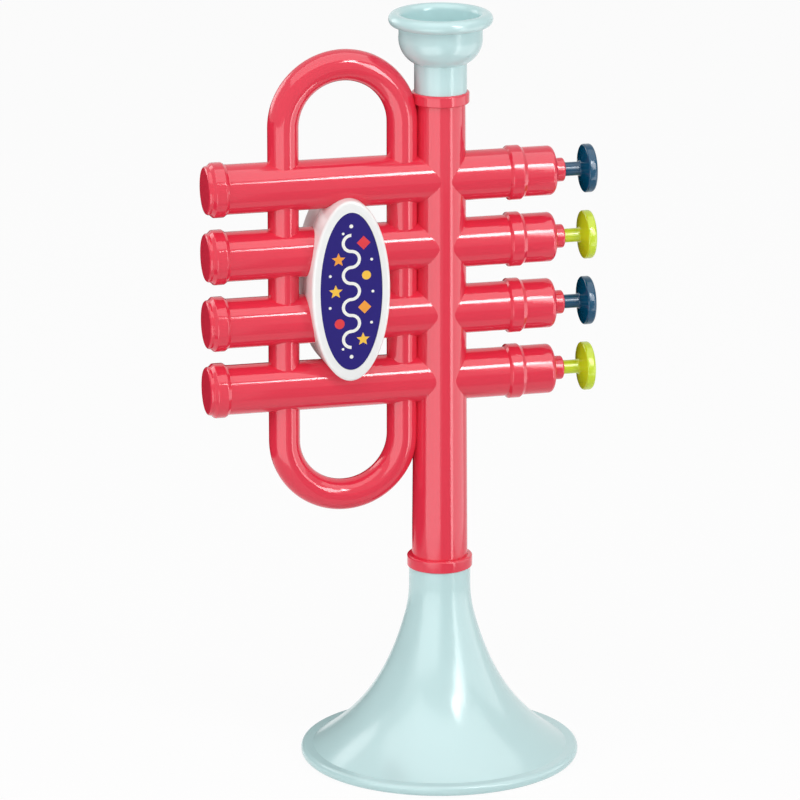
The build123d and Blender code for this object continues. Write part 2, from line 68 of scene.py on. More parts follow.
# Places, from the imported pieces
pipe_x = sum(corner.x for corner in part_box("bell")) / 2 / MM
valve_heights = [sum(corner.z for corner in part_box(f"button_{k}")) / 2 / MM for k in range(1, 5)]

# Body, as distances from the main pipe's axis and heights from the floor
tube_radius, tube_wall = 10.3, 1.8
tube_left, tube_right = 96.4, 31.2
pipe_top_radius, pipe_bottom_radius, pipe_bore = 10.3, 11.7, 8.6
pipe_bottom, pipe_top = 82.8, 284.7
loop_radius = 6.45
loop_left, loop_right = 66.7, 16.3
loop_top, loop_bottom = 300.2, 117.0
loop_bend = (loop_left - loop_right) / 2
loop_middle = (loop_left + loop_right) / 2
port_wall, port_radius, guide_radius = 12.4, 4.0, 2.1
stopper_bottom, stopper_top = 149.5, 151.5
rib_places = ((-29.2, -27.7), (-25.7, -24.2))
rib_height = 0.9
seam_width, seam_depth = 0.25, 0.18
half_seam = 0.02
fit = 0.05
overrun = 1.0
block_reach, block_depth, block_top = 200, 100, 400

# Cuts across the tubes near the pipe: distances from the pipe's axis and from each valve's axis
pipe_cuts = range(3, 14)
valve_cuts = (3, 5, 7, 9, 10.5, 12)

# Caps of the valve tubes
bead_rise = 1.1
spigot_length, spigot_wall = 8, 1.6

# Rings
socket_bottom, socket_top, socket_radius = 282.1, 286.9, 11.95
mouth_neck = 10.9
bell_ring_top, bell_ring_radius = 87.9, 13.7

# Holder and label on the front
holder_from_pipe, holder_height = 41.5, 208.0
holder_width, holder_length = 16.6, 38.3
holder_front, holder_plate, holder_wall = 15.0, 3.2, 1.9
label_width, label_length, label_recess, label_thickness = 13.1, 33.4, 1.0, 0.6
screw_seat = 12.4
shank_radius, shank_end = 1.0, -9.0
post_heights = [
    (valve_heights[0] + valve_heights[1]) / 2,
    (valve_heights[2] + valve_heights[3]) / 2,
]

# Greatest angles in degrees between two faces that are shaded as one surface
plain_crease, body_crease, wire_crease, screw_crease = 32, 12, 40, 35

X_AXIS, Z_AXIS = Vector((1, 0, 0)), Vector((0, 0, 1))


def linear(code):
    """Linear colour with alpha, from an sRGB hex code."""
    shares = [int(code[start:start + 2], 16) / 255 for start in (0, 2, 4)]
    return tuple(s / 12.92 if s <= 0.04045 else ((s + 0.055) / 1.055) ** 2.4 for s in shares) + (1,)


class TrumpetColours(bpy.types.PropertyGroup):
    """Colours of the plastics, which a user may change before the pieces are made."""
    body: bpy.props.FloatVectorProperty(
        name="Body", description="Coral red of the body, its rings and its caps",
        subtype="COLOR", size=4, min=0, max=1, default=linear("E4334A"))
    bell: bpy.props.FloatVectorProperty(
        name="Bell", description="Pale mint of the bell and the mouthpiece",
        subtype="COLOR", size=4, min=0, max=1, default=linear("C0DFE0"))
    first_button: bpy.props.FloatVectorProperty(
        name="First and third buttons", description="Navy of every other button, from the top",
        subtype="COLOR", size=4, min=0, max=1, default=linear("004A6B"))
    second_button: bpy.props.FloatVectorProperty(
        name="Second and fourth buttons", description="Lime of the buttons between",
        subtype="COLOR", size=4, min=0, max=1, default=linear("C6DD18"))
    holder: bpy.props.FloatVectorProperty(
        name="Holder", description="White of the oval holder",
        subtype="COLOR", size=4, min=0, max=1, default=linear("EFF0EF"))
    label: bpy.props.FloatVectorProperty(
        name="Label", description="Blue violet ground of the oval label",
        subtype="COLOR", size=4, min=0, max=1, default=linear("261B78"))


class TrumpetSizes(bpy.types.PropertyGroup):
    """Sizes of the visible edges and details, which a user may change."""
    edge_round: bpy.props.FloatProperty(
        name="Edge rounding", description="Rounding of the caps' and rings' outer edges",
        unit="LENGTH", default=0.7 * MM, min=0.1 * MM, max=1.2 * MM)
    button_round: bpy.props.FloatProperty(
        name="Button rounding", description="Rounding of the buttons' rims",
        unit="LENGTH", default=1.2 * MM, min=0.2 * MM, max=1.6 * MM)
    holder_round: bpy.props.FloatProperty(
        name="Holder rounding", description="Rounding of the holder's front edge",
        unit="LENGTH", default=1.3 * MM, min=0.2 * MM, max=2.0 * MM)
    print_height: bpy.props.FloatProperty(
        name="Print height", description="How far the printed shapes stand out of the label",
        unit="LENGTH", default=0.04 * MM, min=0.01 * MM, max=0.2 * MM)
    turning_steps: bpy.props.IntProperty(
        name="Turning steps", description="Faces round each turned piece",
        default=96, min=24, max=192)


# Mesh helpers

def deselect():
    """Leaves nothing selected, because an operator acts on all that is."""
    bpy.ops.object.select_all(action="DESELECT")


def only(piece):
    """Makes one piece the selected and the active one."""
    deselect()
    piece.select_set(True)
    bpy.context.view_layer.objects.active = piece
    return piece


def settle(name):
    """Names the piece just made and applies its transform, so that its object is at the origin."""
    piece = bpy.context.active_object
    piece.name = name
    bpy.ops.object.transform_apply(location=True, rotation=True, scale=True)
    return piece


def place(along, radius, centre, axis):
    """Point at this distance along a piece's axis and this radius from it, in metres."""
    across = Z_AXIS if axis == X_AXIS else X_AXIS
    return (centre + axis * along + across * radius) * MM


def rounded(corners, steps=5):
    """Points of a closed outline of (along, radius, rounding) corners, with arcs at roundings."""
    points = []
    for index, (along, radius, bend) in enumerate(corners):
        corner = Vector((along, radius))
        if not bend:
            points.append(corner)
            continue
        before = (Vector(corners[index - 1][:2]) - corner).normalized()
        after = (Vector(corners[(index + 1) % len(corners)][:2]) - corner).normalized()
        half = before.angle(after) / 2
        middle = corner + (before + after).normalized() * (bend / sin(half))
        spoke = corner + before * (bend / tan(half)) - middle
        turn = pi - 2 * half if before.cross(after) > 0 else 2 * half - pi
        for step in range(steps + 1):
            points.append(middle + Matrix.Rotation(-turn * step / steps, 2) @ spoke)
    return points


def arc(begin, through, finish, steps):
    """Points of the arc through three points, the first left out."""
    a, b, c = Vector(begin), Vector(through), Vector(finish)
    cross = 2 * (b - a).cross(c - a)
    left, right = (b - a).length_squared, (c - a).length_squared
    ab, ac = b - a, c - a
    middle = a + Vector((ac.y * left - ab.y * right, ab.x * right - ac.x * left)) / cross
    spoke, end = a - middle, c - middle
    sweep = spoke.angle(end) * (-1 if cross < 0 else 1)
    if (spoke.cross(end) > 0) != (cross > 0):
        sweep = (2 * pi - abs(sweep)) * (-1 if cross < 0 else 1)
    return [middle + Matrix.Rotation(sweep * step / steps, 2) @ spoke
            for step in range(1, steps + 1)]


def turned(name, outline, centre, axis):
    """Draws an outline point by point and spins it round its axis into a closed solid."""
    here = place(*outline[0], centre, axis)
    deselect()
    bpy.ops.mesh.primitive_plane_add(size=MM, location=here)
    bpy.ops.object.mode_set(mode="EDIT")
    bpy.ops.mesh.merge(type="CENTER")
    for along, radius in list(outline[1:]) + [outline[0]]:
        there = place(along, radius, centre, axis)
        bpy.ops.mesh.extrude_region_move(TRANSFORM_OT_translate={"value": there - here})
        here = there
    bpy.ops.mesh.select_all(action="SELECT")
    bpy.ops.mesh.remove_doubles(threshold=merge_gap * MM)
    steps = bpy.context.scene.trumpet_sizes.turning_steps
    bpy.ops.mesh.spin(steps=steps, angle=2 * pi, center=centre * MM, axis=axis)
    tidy_mesh()
    return settle(name)


def pipe_turned(name, outline):
    """A solid turned about the main pipe's axis."""
    return turned(name, outline, Vector((pipe_x, 0, 0)), Z_AXIS)


def valve_turned(name, outline, z=valve_heights[0]):
    """A solid turned about a valve tube's axis, the top one's if no height is given."""
    return turned(name, outline, Vector((pipe_x, 0, z)), X_AXIS)


def tidy_mesh():
    """Merges doubled points, turns all faces outwards and leaves edit mode."""
    bpy.ops.mesh.select_all(action="SELECT")
    bpy.ops.mesh.remove_doubles(threshold=merge_gap * MM)
    bpy.ops.mesh.normals_make_consistent(inside=False)
    bpy.ops.object.mode_set(mode="OBJECT")


def pick(piece, test):
    """Opens a piece in edit mode and selects only the points whose place in millimetres passes."""
    only(piece)
    bpy.ops.object.mode_set(mode="EDIT")
    bpy.ops.mesh.select_mode(type="VERT")
    bpy.ops.mesh.select_all(action="DESELECT")
    bpy.ops.object.mode_set(mode="OBJECT")
    for vertex in piece.data.vertices:
        vertex.select = test(vertex.co / MM)
    bpy.ops.object.mode_set(mode="EDIT")


def round_end(piece, y, width, segments):
    """Rounds the edge of a piece's flat end at this place along Y; width is in metres."""
    pick(piece, lambda point: abs(point.y - y) < merge_gap)
    bpy.ops.mesh.bevel(offset=width, segments=segments, profile=0.5)
    bpy.ops.object.mode_set(mode="OBJECT")


def combine(piece, tool, operation="DIFFERENCE"):
    """Cuts a piece by another solid, or joins or keeps it by that; the other solid is used up."""
    only(piece)
    modifier = piece.modifiers.new(operation.title(), "BOOLEAN")
    modifier.operation, modifier.object, modifier.solver = operation, tool, "EXACT"
    bpy.ops.object.modifier_apply(modifier=modifier.name)
    bpy.data.objects.remove(tool, do_unlink=True)
    return piece


def bar(name, radius, begin, finish, z):
    """A round bar along a valve's axis, from begin to finish."""
    deselect()
    middle = Vector((pipe_x + (begin + finish) / 2, 0, z)) * MM
    bpy.ops.mesh.primitive_cylinder_add(
        vertices=bpy.context.scene.trumpet_sizes.turning_steps, radius=radius * MM,
        depth=(finish - begin) * MM, location=middle, rotation=(0, pi / 2, 0))
    return settle(name)


def post(name, radius, begin, finish, x, z):
    """A round bar along Y, from begin to finish."""
    deselect()
    bpy.ops.mesh.primitive_cylinder_add(
        vertices=post_sides, radius=radius * MM, depth=(finish - begin) * MM,
        location=Vector((x, (begin + finish) / 2, z)) * MM, rotation=(pi / 2, 0, 0))
    return settle(name)


def block(name, low, high):
    """A box between two corners."""
    deselect()
    low, high = Vector(low), Vector(high)
    bpy.ops.mesh.primitive_cube_add(size=1, location=(low + high) / 2 * MM, scale=(high - low) * MM)
    return settle(name)


def down_the_row(piece, name):
    """Copies the top valve's piece to the other valves, each copy with its own mesh."""
    piece.name = name + "_1"
    row = [piece]
    for number, z in enumerate(valve_heights[1:], start=2):
        only(piece)
        bpy.ops.object.duplicate(linked=False)
        bpy.ops.transform.translate(value=(0, 0, (z - valve_heights[0]) * MM))
        row.append(settle(f"{name}_{number}"))
    return row


def oval(name, half_width, half_length, front, back):
    """An oval bar along Y about the holder's centre, from its front to its back."""
    deselect()
    bpy.ops.mesh.primitive_cylinder_add(
        vertices=oval_sides, radius=1, depth=(back - front) * MM,
        location=Vector((pipe_x - holder_from_pipe, (front + back) / 2, holder_height)) * MM,
        rotation=(pi / 2, 0, 0), scale=(half_width * MM, half_length * MM, 1))
    return settle(name)


def loop_tube(name, radius, begin, finish):
    """The hand loop's tube: a ring drawn out and spun round, between heights on its right limb."""
    limb = Vector((pipe_x - loop_right, 0, begin)) * MM
    upper, lower = loop_top - loop_bend, loop_bottom + loop_bend
    deselect()
    bpy.ops.mesh.primitive_circle_add(vertices=loop_sides, radius=radius * MM, location=limb)
    bpy.ops.object.mode_set(mode="EDIT")
    move = bpy.ops.mesh.extrude_region_move
    move(TRANSFORM_OT_translate={"value": (0, 0, (upper - begin) * MM)})
    centre = Vector((pipe_x - loop_middle, 0, upper)) * MM
    bpy.ops.mesh.spin(steps=loop_steps, angle=pi, center=centre, axis=(0, 1, 0))
    move(TRANSFORM_OT_translate={"value": (0, 0, (lower - upper) * MM)})
    centre.z = lower * MM
    bpy.ops.mesh.spin(steps=loop_steps, angle=pi, center=centre, axis=(0, 1, 0))
    move(TRANSFORM_OT_translate={"value": (0, 0, (finish - lower) * MM)})
    if finish != begin:
        bpy.ops.mesh.edge_face_add()
        pick(bpy.context.active_object,
             lambda point: abs(point.z - begin) < near and point.x > centre.x / MM)
        bpy.ops.mesh.edge_face_add()
    tidy_mesh()
    return settle(name)


def smooth(piece, angle=plain_crease, even=True):
    """Smooth shading up to an angle, with flats kept flat next to small roundings."""
    only(piece)
    bpy.ops.object.shade_smooth_by_angle(angle=radians(angle))
    if even:
        modifier = piece.modifiers.new("Even shading", "WEIGHTED_NORMAL")
        modifier.keep_sharp = True
        bpy.ops.object.modifier_apply(modifier=modifier.name)
    return piece


def coat(piece, material):
    """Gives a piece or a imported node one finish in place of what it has."""
    piece.data.materials.clear()
    piece.data.materials.append(material)


def finish_piece(piece, material, body, slot, *nodes):
    """Gives a piece its finish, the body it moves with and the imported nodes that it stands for."""
    coat(piece, material)
    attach(piece, body)
    if nodes:
        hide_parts(*nodes)
    return piece


# Finishes

def add_node(owner, kind, values=None, links=None, **settings):
    """Adds a node, sets its options and its sockets, and links sockets of other nodes to it."""
    node = owner.node_tree.nodes.new(kind)
    for option, value in settings.items():
        setattr(node, option, value)
    for socket, value in (values or {}).items():
        node.inputs[socket].default_value = value
    for socket, source in (links or {}).items():
        owner.node_tree.links.new(source, node.inputs[socket])
    return node


def new_material(name):
    """A node material, and whether it was there before; a new one is empty."""
    material = bpy.data.materials.get(name)
    if material:
        return material, True
    material = bpy.data.materials.new(name)
    material.use_nodes = True
    material.node_tree.nodes.clear()
    return material, False


def moulded(name, colour, roughness, ior, ripple, depth=0.0):
    """Injection-moulded plastic: a polished skin with a faint ripple and slight flow shading."""
    flow_size, patch_size, peel_size, peel_depth, scatter_size = 35, 6, 1.6, 0.02, 1.2
    tint_share, duller, glossier = 0.035, 0.05, 0.03
    material, made = new_material(name)
    if made:
        return material
    where = add_node(material, "ShaderNodeTexCoord").outputs["Object"]
    # Flow of the melt: very soft, wide clouds a few centimetres across
    flow = add_node(material, "ShaderNodeTexNoise",
                    {"Scale": 1 / (flow_size * MM), "Detail": 2.0}, {"Vector": where})
    light = [min(1, c * (1 + tint_share)) for c in colour[:3]]
    dark = [c * (1 - tint_share) for c in colour[:3]]
    tint = add_node(material, "ShaderNodeMix", {"A": (*dark, 1), "B": (*light, 1)},
                    {"Factor": flow.outputs["Fac"]}, data_type="RGBA")
    # Mould polish: patches about 6 mm across that are a little duller
    polish = add_node(material, "ShaderNodeTexNoise",
                      {"Scale": 1 / (patch_size * MM), "Detail": 3.0}, {"Vector": where})
    gloss = add_node(material, "ShaderNodeMapRange",
                     {"To Min": roughness - glossier, "To Max": roughness + duller},
                     {"Value": polish.outputs["Fac"]})
    # Orange-peel ripple of the skin, 1.6 mm from crest to crest
    peel = add_node(material, "ShaderNodeTexNoise",
                    {"Scale": 1 / (peel_size * MM), "Detail": 1.0}, {"Vector": where})
    bump = add_node(material, "ShaderNodeBump",
                    {"Strength": ripple, "Distance": peel_depth * MM},
                    {"Height": peel.outputs["Fac"]})
    shader = add_node(material, "ShaderNodeBsdfPrincipled",
                      {"IOR": ior, "Subsurface Weight": depth,
                       "Subsurface Scale": scatter_size * MM,
                       "Subsurface Radius": (1.0, 0.6, 0.5)},
                      {"Base Color": tint.outputs["Result"], "Roughness": gloss.outputs["Result"],
                       "Normal": bump.outputs["Normal"]})
    add_node(material, "ShaderNodeOutputMaterial", links={"Surface": shader.outputs["BSDF"]})
    return material


def colours():
    """The scene's colour settings."""
    return bpy.context.scene.trumpet_colours


def red_abs():
    """Coral red ABS, moulded in a polished tool: a clear gloss with sharp highlights."""
    return moulded("red moulded ABS", colours().body, 0.09, 1.5, 0.12)


def mint_abs():
    """Pale mint ABS: the same gloss, a little softer."""
    return moulded("mint moulded ABS", colours().bell, 0.17, 1.5, 0.1)


def white_abs():
    """White ABS of the holder: satin gloss."""
    return moulded("white moulded ABS", colours().holder, 0.2, 1.5, 0.1)


def button_abs(number):
    """Navy and lime ABS of the buttons: high gloss."""
    if number % 2:
        return moulded("navy moulded ABS", colours().first_button, 0.12, 1.42, 0.1)
    return moulded("lime moulded ABS", colours().second_button, 0.15, 1.5, 0.1)


def label_film():
    """Printed polycarbonate film on the label: flat, deep colour under a smooth face."""
    return moulded("violet printed film", colours().label, 0.15, 1.38, 0.05)


def ink(name, code):
    """Screen-printed ink: opaque and a little duller than the film, with a fine grain of 0.3 mm."""
    material, made = new_material(name)
    if made:
        return material
    where = add_node(material, "ShaderNodeTexCoord").outputs["Object"]
    grain = add_node(material, "ShaderNodeTexNoise",
                     {"Scale": 1 / (0.3 * MM), "Detail": 2.0}, {"Vector": where})
    colour = linear(code)
    tint = add_node(material, "ShaderNodeMix",
                    {"A": (*[c * 0.94 for c in colour[:3]], 1), "B": colour},
                    {"Factor": grain.outputs["Fac"]}, data_type="RGBA")
    shader = add_node(material, "ShaderNodeBsdfPrincipled", {"IOR": 1.5, "Roughness": 0.35},
                      {"Base Color": tint.outputs["Result"]})
    add_node(material, "ShaderNodeOutputMaterial", links={"Surface": shader.outputs["BSDF"]})
    return material


def metal(name, code, roughness, grain_mm):
    """Bare metal with a drawn or rolled grain: fine lines that break up the shine."""
    material, made = new_material(name)
    if made:
        return material
    where = add_node(material, "ShaderNodeTexCoord").outputs["Object"]
    grain = add_node(material, "ShaderNodeTexNoise",
                     {"Scale": 1 / (grain_mm * MM), "Detail": 3.0}, {"Vector": where})
    gloss = add_node(material, "ShaderNodeMapRange",
                     {"To Min": roughness - 0.08, "To Max": roughness + 0.1},
                     {"Value": grain.outputs["Fac"]})
    shader = add_node(material, "ShaderNodeBsdfPrincipled",
                      {"Base Color": linear(code), "Metallic": 1.0},
                      {"Roughness": gloss.outputs["Result"]})
    add_node(material, "ShaderNodeOutputMaterial", links={"Surface": shader.outputs["BSDF"]})
    return material


def pad_rubber():
    """Moulded silicone rubber of the pads: matt, with a fine dusty grain."""
    return moulded("black moulded rubber", linear("2B2B2C"), 0.7, 1.43, 0.6)


def plate_plastic():
    """Plain off-white polystyrene of the reed plates: satin, unpolished."""
    return moulded("off-white moulded polystyrene", linear("E6E4DC"), 0.45, 1.59, 0.4)


# Body

def pipe_form(name, inset, extra):
    """The main pipe: a slight cone between straight seats for its two rings."""
    return pipe_turned(name, [
        (pipe_bottom - extra, 0), (pipe_bottom - extra, pipe_bottom_radius - inset),
        (bell_ring_top, pipe_bottom_radius - inset), (socket_bottom, pipe_top_radius - inset),
        (pipe_top + extra, pipe_top_radius - inset), (pipe_top + extra, 0),
    ])


def outer_form(name, inset=0.0, extra=0.0):
    """The pipe, the valve tubes and the loop joined into one solid, with extra length if asked."""
    form = pipe_form(name, inset, extra)
    for z in valve_heights:
        tube = bar("tube", tube_radius - inset, -tube_left - extra, tube_right + extra, z)
        combine(form, tube, "UNION")
    middle = (loop_top + loop_bottom) / 2
    combine(form, loop_tube("loop", loop_radius - inset, middle, middle), "UNION")
    return form


def windway(z):
    """Hollow of one valve tube: chamber, grooves of the reed plate, port, guide and spring room."""
    bore = tube_radius - tube_wall
    (rib_a, rib_b), (rib_c, rib_d) = rib_places
    rib = bore - rib_height
    return valve_turned("windway", [
        (-tube_left - overrun, 0), (-tube_left - overrun, bore), (rib_a, bore), (rib_a, rib),
        (rib_b, rib), (rib_b, bore), (rib_c, bore), (rib_c, rib), (rib_d, rib), (rib_d, bore),
        (-port_wall, bore), (-port_wall, port_radius), (0, port_radius), (0, guide_radius),
        (port_wall, guide_radius), (port_wall, bore), (tube_right + overrun, bore),
        (tube_right + overrun, 0),
    ], z)


def pipe_hollow(begin, finish):
    """A length of the main pipe's bore."""
    return pipe_turned("bore", [(begin, 0), (begin, pipe_bore), (finish, pipe_bore), (finish, 0)])


class TRUMPET_OT_body(bpy.types.Operator):
    """Makes the body's front and back mouldings, the seam between them and the windway inside"""
    bl_idname = "trumpet.body"
    bl_label = "Body mouldings"

    def execute(self, context):
        body = outer_form("body")
        hollows = [pipe_hollow(pipe_bottom - overrun, stopper_bottom),
                   pipe_hollow(stopper_top, pipe_top + overrun)]
        hollows += [windway(z) for z in valve_heights]
        hollows.append(pipe_turned("room", [
            (socket_bottom - fit, pipe_top_radius), (socket_bottom - fit, socket_radius + fit),
            (socket_top, socket_radius + fit), (socket_top, pipe_top_radius),
        ]))
        # Seam: a fine groove all round, where the two mouldings meet
        groove = self.slab("groove", -seam_width / 2, seam_width / 2)
        hollows.append(combine(groove, outer_form("core", seam_depth, overrun)))
        for hollow in hollows:
            combine(body, hollow)
            only(body)
            bpy.ops.object.mode_set(mode="EDIT")
            tidy_mesh()
        self.cross_cuts(body)

        # The two mouldings: the solid in front of the seam, and the solid behind it
        only(body)
        bpy.ops.object.duplicate()
        front = settle("body_front")
        combine(front, self.slab("front", -block_depth, -half_seam), "INTERSECT")
        back = combine(body, self.slab("back", half_seam, block_depth), "INTERSECT")
        back.name = "body_back"
        for piece, node in ((front, "front_shell"), (back, "back_shell")):
            smooth(piece, body_crease, False)
            finish_piece(piece, red_abs(), "trumpet", "red_plastic", node)
        return {"FINISHED"}

    def slab(self, name, front, back):
        """A block across the whole body, between two places along Y."""
        return block(name, (-block_reach, front, 0), (block_reach, back, block_top))

    def cross_cuts(self, body):
        """Cuts across the tubes near the pipe, so that the shading of a crease stays beside it."""
        cuts = [(Vector((pipe_x + side * step, 0, 0)), X_AXIS)
                for side in (-1, 1) for step in pipe_cuts]
        cuts += [(Vector((0, 0, z + side * step)), Z_AXIS)
                 for z in valve_heights for side in (-1, 1) for step in valve_cuts]
        only(body)
        bpy.ops.object.mode_set(mode="EDIT")
        for point, normal in cuts:
            bpy.ops.mesh.select_all(action="SELECT")
            bpy.ops.mesh.bisect(plane_co=point * MM, plane_no=normal)
        bpy.ops.object.mode_set(mode="OBJECT")


class TRUMPET_OT_rings(bpy.types.Operator):
    """Makes the ring round the mouthpiece's socket and the ring above the bell"""
    bl_idname = "trumpet.rings"
    bl_label = "Pipe rings"

    def execute(self, context):
        edge = context.scene.trumpet_sizes.edge_round / MM
        socket = pipe_turned("socket_collar", rounded([
            (socket_bottom, pipe_top_radius + fit, 0), (socket_bottom, socket_radius, edge),
            (socket_top, socket_radius, edge), (socket_top, mouth_neck + fit, 0),
            (pipe_top, mouth_neck + fit, 0), (pipe_top, pipe_top_radius + fit, 0),
        ]))
        finish_piece(smooth(socket), red_abs(), "trumpet", "red_plastic", "socket_ring")
        ring = pipe_turned("bell_collar", rounded([
            (pipe_bottom, pipe_bottom_radius + fit, 0), (pipe_bottom, bell_ring_radius, edge),
            (bell_ring_top, bell_ring_radius, edge), (bell_ring_top, pipe_bottom_radius + fit, 0),
        ]))
        finish_piece(smooth(ring), red_abs(), "trumpet", "red_plastic", "bell_ring")
        return {"FINISHED"}


class TRUMPET_OT_mouthpiece(bpy.types.Operator):
    """Makes the mouthpiece with its rolled rim, bowl, neck, cup and throat"""
    bl_idname = "trumpet.mouthpiece"
    bl_label = "Mouthpiece"

    def execute(self, context):
        rim_radius, rim_tube, top, wall = 18.8, 2.75, 320.0, 1.9
        bowl_bottom, bowl_top, bowl_radius = 298.9, 310.7, 17.3
        bulge, bulge_height = bowl_radius - 1.7, 4.2
        plug, plug_bottom, plug_round, throat = pipe_bore - fit, 272.7, 0.5, 4.0
        bowl_steps, rim_steps, lip_steps, cup_steps = 14, 16, 8, 16
        rim_z = top - rim_tube
        under = rim_z - (rim_tube ** 2 - (rim_radius - bowl_radius) ** 2) ** 0.5
        floor = bowl_bottom + wall
        outline = [(plug_bottom, plug - wall)]
        outline += rounded([(plug_bottom, plug - wall, 0), (plug_bottom, plug, plug_round),
                            (pipe_top, plug, 0), (pipe_top, mouth_neck, 0),
                            (bowl_bottom, mouth_neck, 0)])[1:]
        outline += arc((bowl_bottom, mouth_neck), (bowl_bottom + bulge_height, bulge),
                       (bowl_top, bowl_radius), bowl_steps)
        outline += [(under, bowl_radius)]
        outline += arc((under, bowl_radius), (rim_z, rim_radius + rim_tube), (top, rim_radius),
                       rim_steps)
        outline += arc((top, rim_radius),
                       (rim_z + rim_tube * sin(pi / 4), rim_radius - rim_tube * cos(pi / 4)),
                       (rim_z, rim_radius - rim_tube), lip_steps)
        outline += [(bowl_top, bowl_radius - wall)]
        outline += arc((bowl_top, bowl_radius - wall), (floor + bulge_height, bulge - wall),
                       (floor, throat), cup_steps)
        outline += [(bowl_bottom, throat), (bowl_bottom, plug - wall)]
        piece = pipe_turned("mouthpiece_dressed", outline)
        finish_piece(smooth(piece), mint_abs(), "trumpet", "mint_plastic", "mouthpiece")
        return {"FINISHED"}


class TRUMPET_OT_bell(bpy.types.Operator):
    """Makes the flared bell with its neck, its rolled lip and the plug that holds it in the pipe"""
    bl_idname = "trumpet.bell"
    bl_label = "Bell"

    def execute(self, context):
        radius, lip_width, lip_height, wall = 58.6, 5.2, 4.4, 1.9
        neck, neck_bottom, plug_top = 12.9, 69.0, 96.8
        blend_top, blend_bottom, blend_steps, horn_steps = 75.5, 60.0, 12, 40
        lip_top_round, lip_edge_round, lip_inner_round, round_steps = 1.9, 2.0, 1.6, 8
        foot, depth = radius - 5.0, 87.94
        power = log(foot / neck) / log((neck_bottom + depth) / (lip_height + depth))

        def horn(z):
            """Outside radius of the horn at this height."""
            return foot * ((z + depth) / (lip_height + depth)) ** -power

        def inside(z):
            """Point of the horn's inside, square to its outside at this height."""
            slope = -power * horn(z) / (z + depth)
            return (z + wall * slope / hypot(1, slope), horn(z) - wall / hypot(1, slope))

        def outside(z):
            """Outside radius of the horn where it eases into the straight neck."""
            if z <= blend_bottom:
                return horn(z)
            ease = max(0, blend_top - z) / (blend_top - blend_bottom)
            return neck + (horn(blend_bottom) - neck) * ease ** 2

        heights = [lip_height + (neck_bottom - lip_height) * (i / horn_steps) ** 2
                   for i in range(horn_steps + 1)]
        eased = [blend_top - (blend_top - blend_bottom) * i / blend_steps
                 for i in range(blend_steps)]
        plug = pipe_bore - fit
        outline = [(z, outside(z)) for z in eased]
        outline += [(z, horn(z)) for z in reversed(heights) if z < blend_bottom]
        outline += rounded([
            (lip_height, horn(lip_height), 0), (lip_height, radius, lip_top_round),
            (0, radius, lip_edge_round), (0, radius - lip_width, lip_inner_round),
            inside(lip_height) + (0,),
        ], round_steps)[1:-1]
        outline += [inside(z) for z in heights]
        outline += [(pipe_bottom - wall, horn(neck_bottom) - wall), (pipe_bottom, plug - wall),
                    (plug_top, plug - wall), (plug_top, plug), (pipe_bottom, plug),
                    (pipe_bottom, neck)]
        piece = pipe_turned("bell_dressed", outline)
        finish_piece(smooth(piece), mint_abs(), "trumpet", "mint_plastic", "bell")
        return {"FINISHED"}


class TRUMPET_OT_tail_caps(bpy.types.Operator):
    """Makes the beaded caps that close the valve tubes opposite the buttons"""
    bl_idname = "trumpet.tail_caps"
    bl_label = "Tail caps"

    def execute(self, context):
        edge = context.scene.trumpet_sizes.edge_round / MM
        face, seat, plug = -99.8, tube_radius + fit, tube_radius - tube_wall - fit
        bead, end, hollow = tube_radius + bead_rise, spigot_length - tube_left, plug - spigot_wall
        disc, disc_round, foot_round, floor = 10.1, 1.2, 0.2, 2.2
        # Where the bead's two slopes begin and end, from the face
        rise, crest, fall, skirt = 1.7, 3.1, 7.2, 8.6
        cap = smooth(valve_turned("cap", rounded([
            (face, 0, 0), (face, disc, disc_round), (face + rise, disc, foot_round),
            (face + crest, bead, edge), (face + fall, bead, edge), (face + skirt, seat, 0),
            (-tube_left, seat, 0), (-tube_left, plug, 0), (end, plug, 0), (end, hollow, 0),
            (face + floor, hollow, 0), (face + floor, 0, 0),
        ])))
        for number, piece in enumerate(down_the_row(cap, "tail_cap_dressed"), start=1):
            finish_piece(piece, red_abs(), "trumpet", "red_plastic", f"tail_cap_{number}")
        return {"FINISHED"}


class TRUMPET_OT_valve_caps(bpy.types.Operator):
    """Makes the beaded caps with a shoulder and a neck, which guide the buttons"""
    bl_idname = "trumpet.valve_caps"
    bl_label = "Valve caps"

    def execute(self, context):
        edge = context.scene.trumpet_sizes.edge_round / MM
        start, seat, plug = 27.7, tube_radius + fit, tube_radius - tube_wall - fit
        bead, inner = tube_radius + bead_rise, tube_right - spigot_length
        hollow, wall = plug - spigot_wall, 1.8
        end, shoulder, tip, neck, hole = 47.7, 48.6, 52.6, 4.95, 3.0
        # Where the bead's two slopes end and begin, from its start
        crest, fall, skirt = 1.0, 5.6, 7.0
        skirt_round, end_round, mouth_round = 0.5, 2.0, 0.4
        cap = smooth(valve_turned("cap", rounded([
            (start, seat, 0), (start + crest, bead, edge), (start + fall, bead, edge),
            (start + skirt, seat, skirt_round), (end, seat, end_round), (shoulder, neck, 0),
            (tip, neck, edge), (tip, hole, mouth_round), (shoulder - wall, hole, 0),
            (shoulder - wall, neck, 0), (end - wall, hollow, 0), (inner, hollow, 0),
            (inner, plug, 0), (tube_right, plug, 0), (tube_right, seat, 0),
        ])))
        for number, piece in enumerate(down_the_row(cap, "valve_cap_dressed"), start=1):
            finish_piece(piece, red_abs(), "trumpet", "red_plastic", f"valve_cap_{number}")
        return {"FINISHED"}


